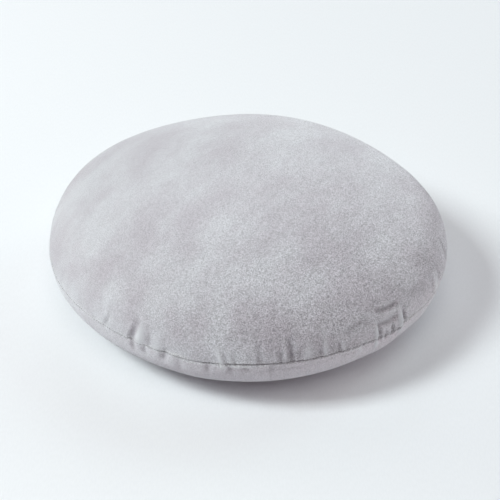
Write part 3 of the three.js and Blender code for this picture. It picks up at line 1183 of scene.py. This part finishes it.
# %% Floor
FLOOR_RADIUS = 2.2  # in metres
FLOOR_SIDES = 96
FLOOR_WHITE = "#EDF0F2"
FLOOR_SHADE = "#EBEEF0"
GRAIN_WIDE = 1.6 * MM
GRAIN_STRETCH = 3.5
GRAIN_RANGE = (0.35, 0.65)


def white_board(tree, place):
    drawn_out = add_node(tree, "ShaderNodeMapping", {"Vector": place, "Scale": (1, GRAIN_STRETCH, 1)},
                         vector_type="TEXTURE").outputs["Vector"]
    grain = add_node(tree, "ShaderNodeTexNoise",
                     {"Vector": drawn_out, "Scale": 1 / GRAIN_WIDE, "Detail": 1}).outputs["Fac"]
    share = add_node(tree, "ShaderNodeMapRange",
                     {"Value": grain, "From Min": GRAIN_RANGE[0],
                      "From Max": GRAIN_RANGE[1]}).outputs["Result"]
    colour = add_node(tree, "ShaderNodeMix",
                      {"Factor": share, COLOUR_A: linear(FLOOR_SHADE), COLOUR_B: linear(FLOOR_WHITE)},
                      data_type="RGBA").outputs[MIXED]
    return {"Base Color": colour, "Roughness": 0.8, "Specular IOR Level": 0.1}


turns = np.linspace(0, 2 * math.pi, FLOOR_SIDES, endpoint=False)
rim = FLOOR_RADIUS * np.stack([np.cos(turns), np.sin(turns), np.zeros(FLOOR_SIDES)], axis=1)
floor = add_mesh("floor", rim, [tuple(range(FLOOR_SIDES))])
floor.data.materials.append(new_material(white_board))
print("floor:", 2 * FLOOR_RADIUS, "m across")

# %% Light from the room
BACKDROP_WHITE = "#EEF1F4"
ROOM_TINT = "#FFDCEA"
ROOM_LIGHT = 0.175


def add_world():
    """A white backdrop that the camera sees, and the weak light that the room gives."""
    world = bpy.data.worlds.new("white_studio")
    world.use_nodes = True
    tree = world.node_tree
    tree.nodes.clear()
    seen = add_node(tree, "ShaderNodeLightPath").outputs["Is Camera Ray"]
    room = add_node(tree, "ShaderNodeBackground",
                    {"Color": linear(ROOM_TINT), "Strength": ROOM_LIGHT}).outputs[0]
    backdrop = add_node(tree, "ShaderNodeBackground", {"Color": linear(BACKDROP_WHITE)}).outputs[0]
    sky = add_node(tree, "ShaderNodeMixShader", {0: seen, 1: room, 2: backdrop})
    add_node(tree, "ShaderNodeOutputWorld", {"Surface": sky.outputs[0]})
    bpy.context.scene.world = world


add_world()
bpy.context.scene.view_settings.view_transform = "Standard"
print("room:", bpy.context.scene.world.name, "at a strength of", ROOM_LIGHT)

# %% Lamps
SOFT_BOXES = [  # name, azimuth, elevation, metres away, wide, tall, watts, tint
    ("window", -75, 45, 4.0, 1.0, 1.3, 116.0, "#F7FFFF"),
    ("left_wall", -120, 12, 4.0, 3.0, 1.4, 50.5, "#F9FFF2"),
    ("right_wall", 120, 12, 4.0, 3.0, 1.4, 38.0, "#FBFFFC"),
    ("right_glow", 86, 5, 4.0, 3.0, 0.6, 34.0, "#FFFFFF"),
    ("ceiling", 0, 64, 3.6, 2.0, 2.4, 26.0, "#FAFFFA"),
    ("right_fill", 135, 35, 4.0, 2.0, 2.0, 25.5, "#DEFDFF"),
    ("back_fill", 180, 35, 4.0, 2.0, 2.0, 22.0, "#F6FAFF"),
]


def soft_box(name, azimuth, elevation, away, wide, tall, power, tint):
    """A lamp that faces the cushion. Azimuth is from the front, positive to the right."""
    lamp = bpy.data.lights.new(name, "AREA")
    lamp.shape = "RECTANGLE"
    lamp.size = wide
    lamp.size_y = tall
    lamp.energy = power
    lamp.color = linear(tint)[:3]
    light = bpy.data.objects.new(name, lamp)
    a, e = math.radians(azimuth), math.radians(elevation)
    back = Vector((math.sin(a) * math.cos(e), -math.cos(a) * math.cos(e), math.sin(e)))
    light.location = back * away
    light.rotation_mode = "QUATERNION"
    light.rotation_quaternion = (-back).to_track_quat("-Z", "Y")
    light.visible_camera = False
    bpy.context.scene.collection.objects.link(light)
    return light


lights = [soft_box(*row) for row in SOFT_BOXES]
print(len(lights), "soft boxes,", round(sum(light.data.energy for light in lights)), "W in all")

# %% Camera
CAMERA_AT = Vector((0, -1062.3, 799.4)) * MM
CAMERA_AIM = Vector((3.3, -6.3, 41.0)) * MM
CAMERA_ROLL = 1.6
LENS = 92.0
SENSOR = 36.0

camera = bpy.data.objects.new("camera", bpy.data.cameras.new("camera"))
camera.data.lens = LENS
camera.data.sensor_width = SENSOR
camera.location = CAMERA_AT
camera.rotation_mode = "QUATERNION"
level = (CAMERA_AIM - CAMERA_AT).to_track_quat("-Z", "Y")
camera.rotation_quaternion = level @ Quaternion((0, 0, 1), math.radians(CAMERA_ROLL))
bpy.context.scene.collection.objects.link(camera)
bpy.context.scene.camera = camera
print("camera:", round((CAMERA_AIM - CAMERA_AT).length, 2), "m from the cushion's middle")

# %% [markdown]
# ## The pieces on the part's body
# Every piece rides on the part's one body. The cloth stands for the imported solid, which stays hidden
# and does the colliding. Nothing is fitted by hand, because both share one frame.

# %% Tie the pieces to the frame
PIECES = (cushion, machine_thread, hand_thread, fibres)
for piece in PIECES:
    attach(piece, "root")
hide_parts("cushion")
print("pieces:", [piece.name for piece in PIECES])

# %% Finish
bpy.context.view_layer.update()
